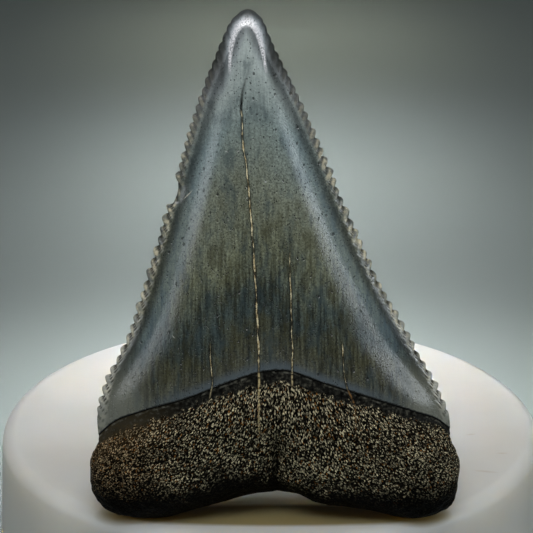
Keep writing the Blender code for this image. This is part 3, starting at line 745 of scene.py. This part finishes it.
# The smooth band: mottled black, browner at the left, with a broken glint along its top and a
# black line above that.
band_noise = node("TexNoise", {"Vector": here, "Scale": 2.2, "Detail": 5.0, "Roughness": 0.65})
band = node("ValToRGB", (band_noise,), stops=((0.38, "070706"), (0.55, "21211e"), (0.68, "4c4b42")))
band_stain = node("Math", (left_side, node("MapRange", (band_noise, 0.3, 0.65, 0.95, 0.35))), **TIMES)
band = node("Mix", {0: band_stain, 6: band, 7: "3d3626"}, **RGBA)
off_glint = node("Math", (node("Math", (below, 0.30), **LESS),), **UNSIGNED)
glint_breaks = node("TexNoise", {"Vector": here, "Scale": 1.2})
glint = node("Math", (node("MapRange", (off_glint, 0.16, 0.05)),
                      node("MapRange", (glint_breaks, 0.50, 0.66, 0.0, 0.6))), **TIMES)
band = node("Mix", {0: glint, 6: band, 7: "77766c"}, **RGBA)
band = node("Mix", {0: node("MapRange", (below, 0.16, 0.08)), 6: band, 7: "050505"}, **RGBA)
stone = node("Mix", {0: rough_root, 6: band, 7: stone}, **RGBA)

# The cracks run on into the root, filled in places, and the crevice between the lobes is black:
# the half width, the least amount in a gap, the top end and the filling's colour of each.
ROOT_CRACKS = (("crack_long", 0.10, 0.0, 99.0, "c4b184"), ("crack_right", 0.08, 0.0, 99.0, "b8a882"),
               ("crack_short_left", 0.06, 0.0, 99.0, "a89c7c"),
               ("crack_short_right", 0.09, 0.0, 99.0, "80603c"), ("crevice", 0.38, 0.6, 12.5, "030302"))
gaps = node("TexNoise", {"Vector": here, "Scale": 3.0, "Detail": 3.0})
for name, half_width, least, top, filling in ROOT_CRACKS:
    away = node("Math", (node("Attribute", {}, "Fac", attribute_name=name),), **UNSIGNED)
    lowest = CRACKS[name][0][0]
    inside = node("MapRange", (away, 1.5 * half_width, 0.7 * half_width))
    for limit in (node("MapRange", (up, lowest, lowest + 1.0)),
                  node("MapRange", (gaps, 0.40, 0.58, least, 0.92)), node("MapRange", (up, top, top - 5.0))):
        inside = node("Math", (inside, limit), **TIMES)
    stone = node("Mix", {0: inside, 6: stone, 7: filling}, **RGBA)

grain_height = node("Math", (crest, rough_root), **TIMES)
bump = node("Bump", {"Strength": 1.0, "Distance": 0.00014, "Height": grain_height})
gloss = node("MapRange", (rough_root, 0.0, 1.0, 0.42, 0.55))
surface = node("BsdfPrincipled", {"Base Color": stone, "Roughness": gloss, "IOR": 1.5,
                                  "Specular IOR Level": 0.03, "Normal": bump})
node("OutputMaterial", (surface,))

tooth.data.materials.append(enamel)
tooth.data.materials.append(root_stone)
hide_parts("tooth")
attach(tooth, "root")

# ==================== floor, light and camera
# A plain pale table, and soft light: one wide panel overhead and one in front of it, a tall narrow
# one at each side, and three narrow lamps that pool on the stand's back and on the table behind.
FLOOR = 6.0                   # half the table's width
floor = skin("floor", np.array([(-FLOOR, -FLOOR, 0.0), (FLOOR, -FLOOR, 0.0), (FLOOR, FLOOR, 0.0),
                                (-FLOOR, FLOOR, 0.0)]), np.array([[0, 1, 2, 3]]), np.zeros((0, 3), int))
paint, node = new_material("pale_painted_board")
node("OutputMaterial", (node("BsdfPrincipled", {"Base Color": "959f9c", "Roughness": 0.75}),))
floor.data.materials.append(paint)

# name, place, what it is aimed at, size, watts, spread in degrees and tint
LIGHTS = (("overhead", (0.0, -0.03, 0.36), (0.0, -0.01, 0.0), (0.16, 0.14), 0.03, 80.0, "ffffff"),
          ("stand_back", (0.0, 0.045, 0.42), (0.0, 0.045, 0.0), (0.04, 0.04), 0.0326, 18.2, "ffffff"),
          ("floor_near", (0.0, 0.16, 0.42), (0.0, 0.16, 0.0), (0.04, 0.10), 0.0234, 16.5, "ffffff"),
          ("floor_far", (0.0, 0.278, 0.45), (0.0, 0.278, 0.0), (0.04, 0.09), 0.0098, 16.0, "fffbe6"),
          ("front_top", (0.0, -0.28, 0.42), (0.0, -0.03, 0.04), (0.28, 0.14), 0.50, 110.0, "ffffff"),
          ("left_strip", (-0.45, -0.115, 0.125), (0.0, -0.02, 0.10), (0.055, 0.19), 0.208, 180.0, "f4fbff"),
          ("right_strip", (0.45, -0.115, 0.125), (0.0, -0.02, 0.10), (0.055, 0.19), 0.330, 180.0, "eef8ff"))
for name, lamp_place, aim, size, watts, spread, tint in LIGHTS:
    light = bpy.data.lights.new(name, "AREA")
    light.shape = "RECTANGLE"
    light.size, light.size_y = size
    light.energy = watts
    light.color = linear(tint)[:3]
    light.spread = radians(spread)
    lamp = bpy.data.objects.new(name, light)
    bpy.context.collection.objects.link(lamp)
    lamp.visible_camera = False
    lamp.location = lamp_place
    off = np.subtract(lamp_place, aim)
    lamp.rotation_euler = (np.arctan2(np.hypot(off[0], off[1]), off[2]), 0.0, np.arctan2(off[0], -off[1]))

# The room is dim, and at the horizon it is as dark as the far floor, so that the two meet unseen.
world = bpy.data.worlds.new("dim_room")
world.use_nodes = True
world.node_tree.nodes.clear()
node = partial(add_node, world.node_tree)
height = node("SeparateXYZ", (node("TexCoord", {}, "Generated"),), 2)
room = node("Mix", {0: node("MapRange", (height, 0.0, 0.6), **SMOOTH), 6: "404846", 7: "6d7371"}, **RGBA)
node("OutputWorld", (node("Background", {"Color": room, "Strength": 0.22}),))
bpy.context.scene.world = world
bpy.context.scene.view_settings.view_transform = "Standard"

VIEW_ELEVATION = radians(20.15)
VIEW_DISTANCE = 0.2864        # from the middle of the stand's top, along the view
AIM = (-0.0005, 0.0199)       # how far right of it and above it the view is centred
camera_data = bpy.data.cameras.new("camera")
camera_data.sensor_width = 36.0
camera_data.lens = 148.6
camera = bpy.data.objects.new("camera", camera_data)
bpy.context.collection.objects.link(camera)
camera.rotation_euler = (0.5 * pi - VIEW_ELEVATION, 0.0, 0.0)
camera.location = (AIM[0], AIM[1] * sin(VIEW_ELEVATION) - VIEW_DISTANCE * cos(VIEW_ELEVATION),
                   STAND_HEIGHT + AIM[1] * cos(VIEW_ELEVATION) + VIEW_DISTANCE * sin(VIEW_ELEVATION))
bpy.context.scene.camera = camera
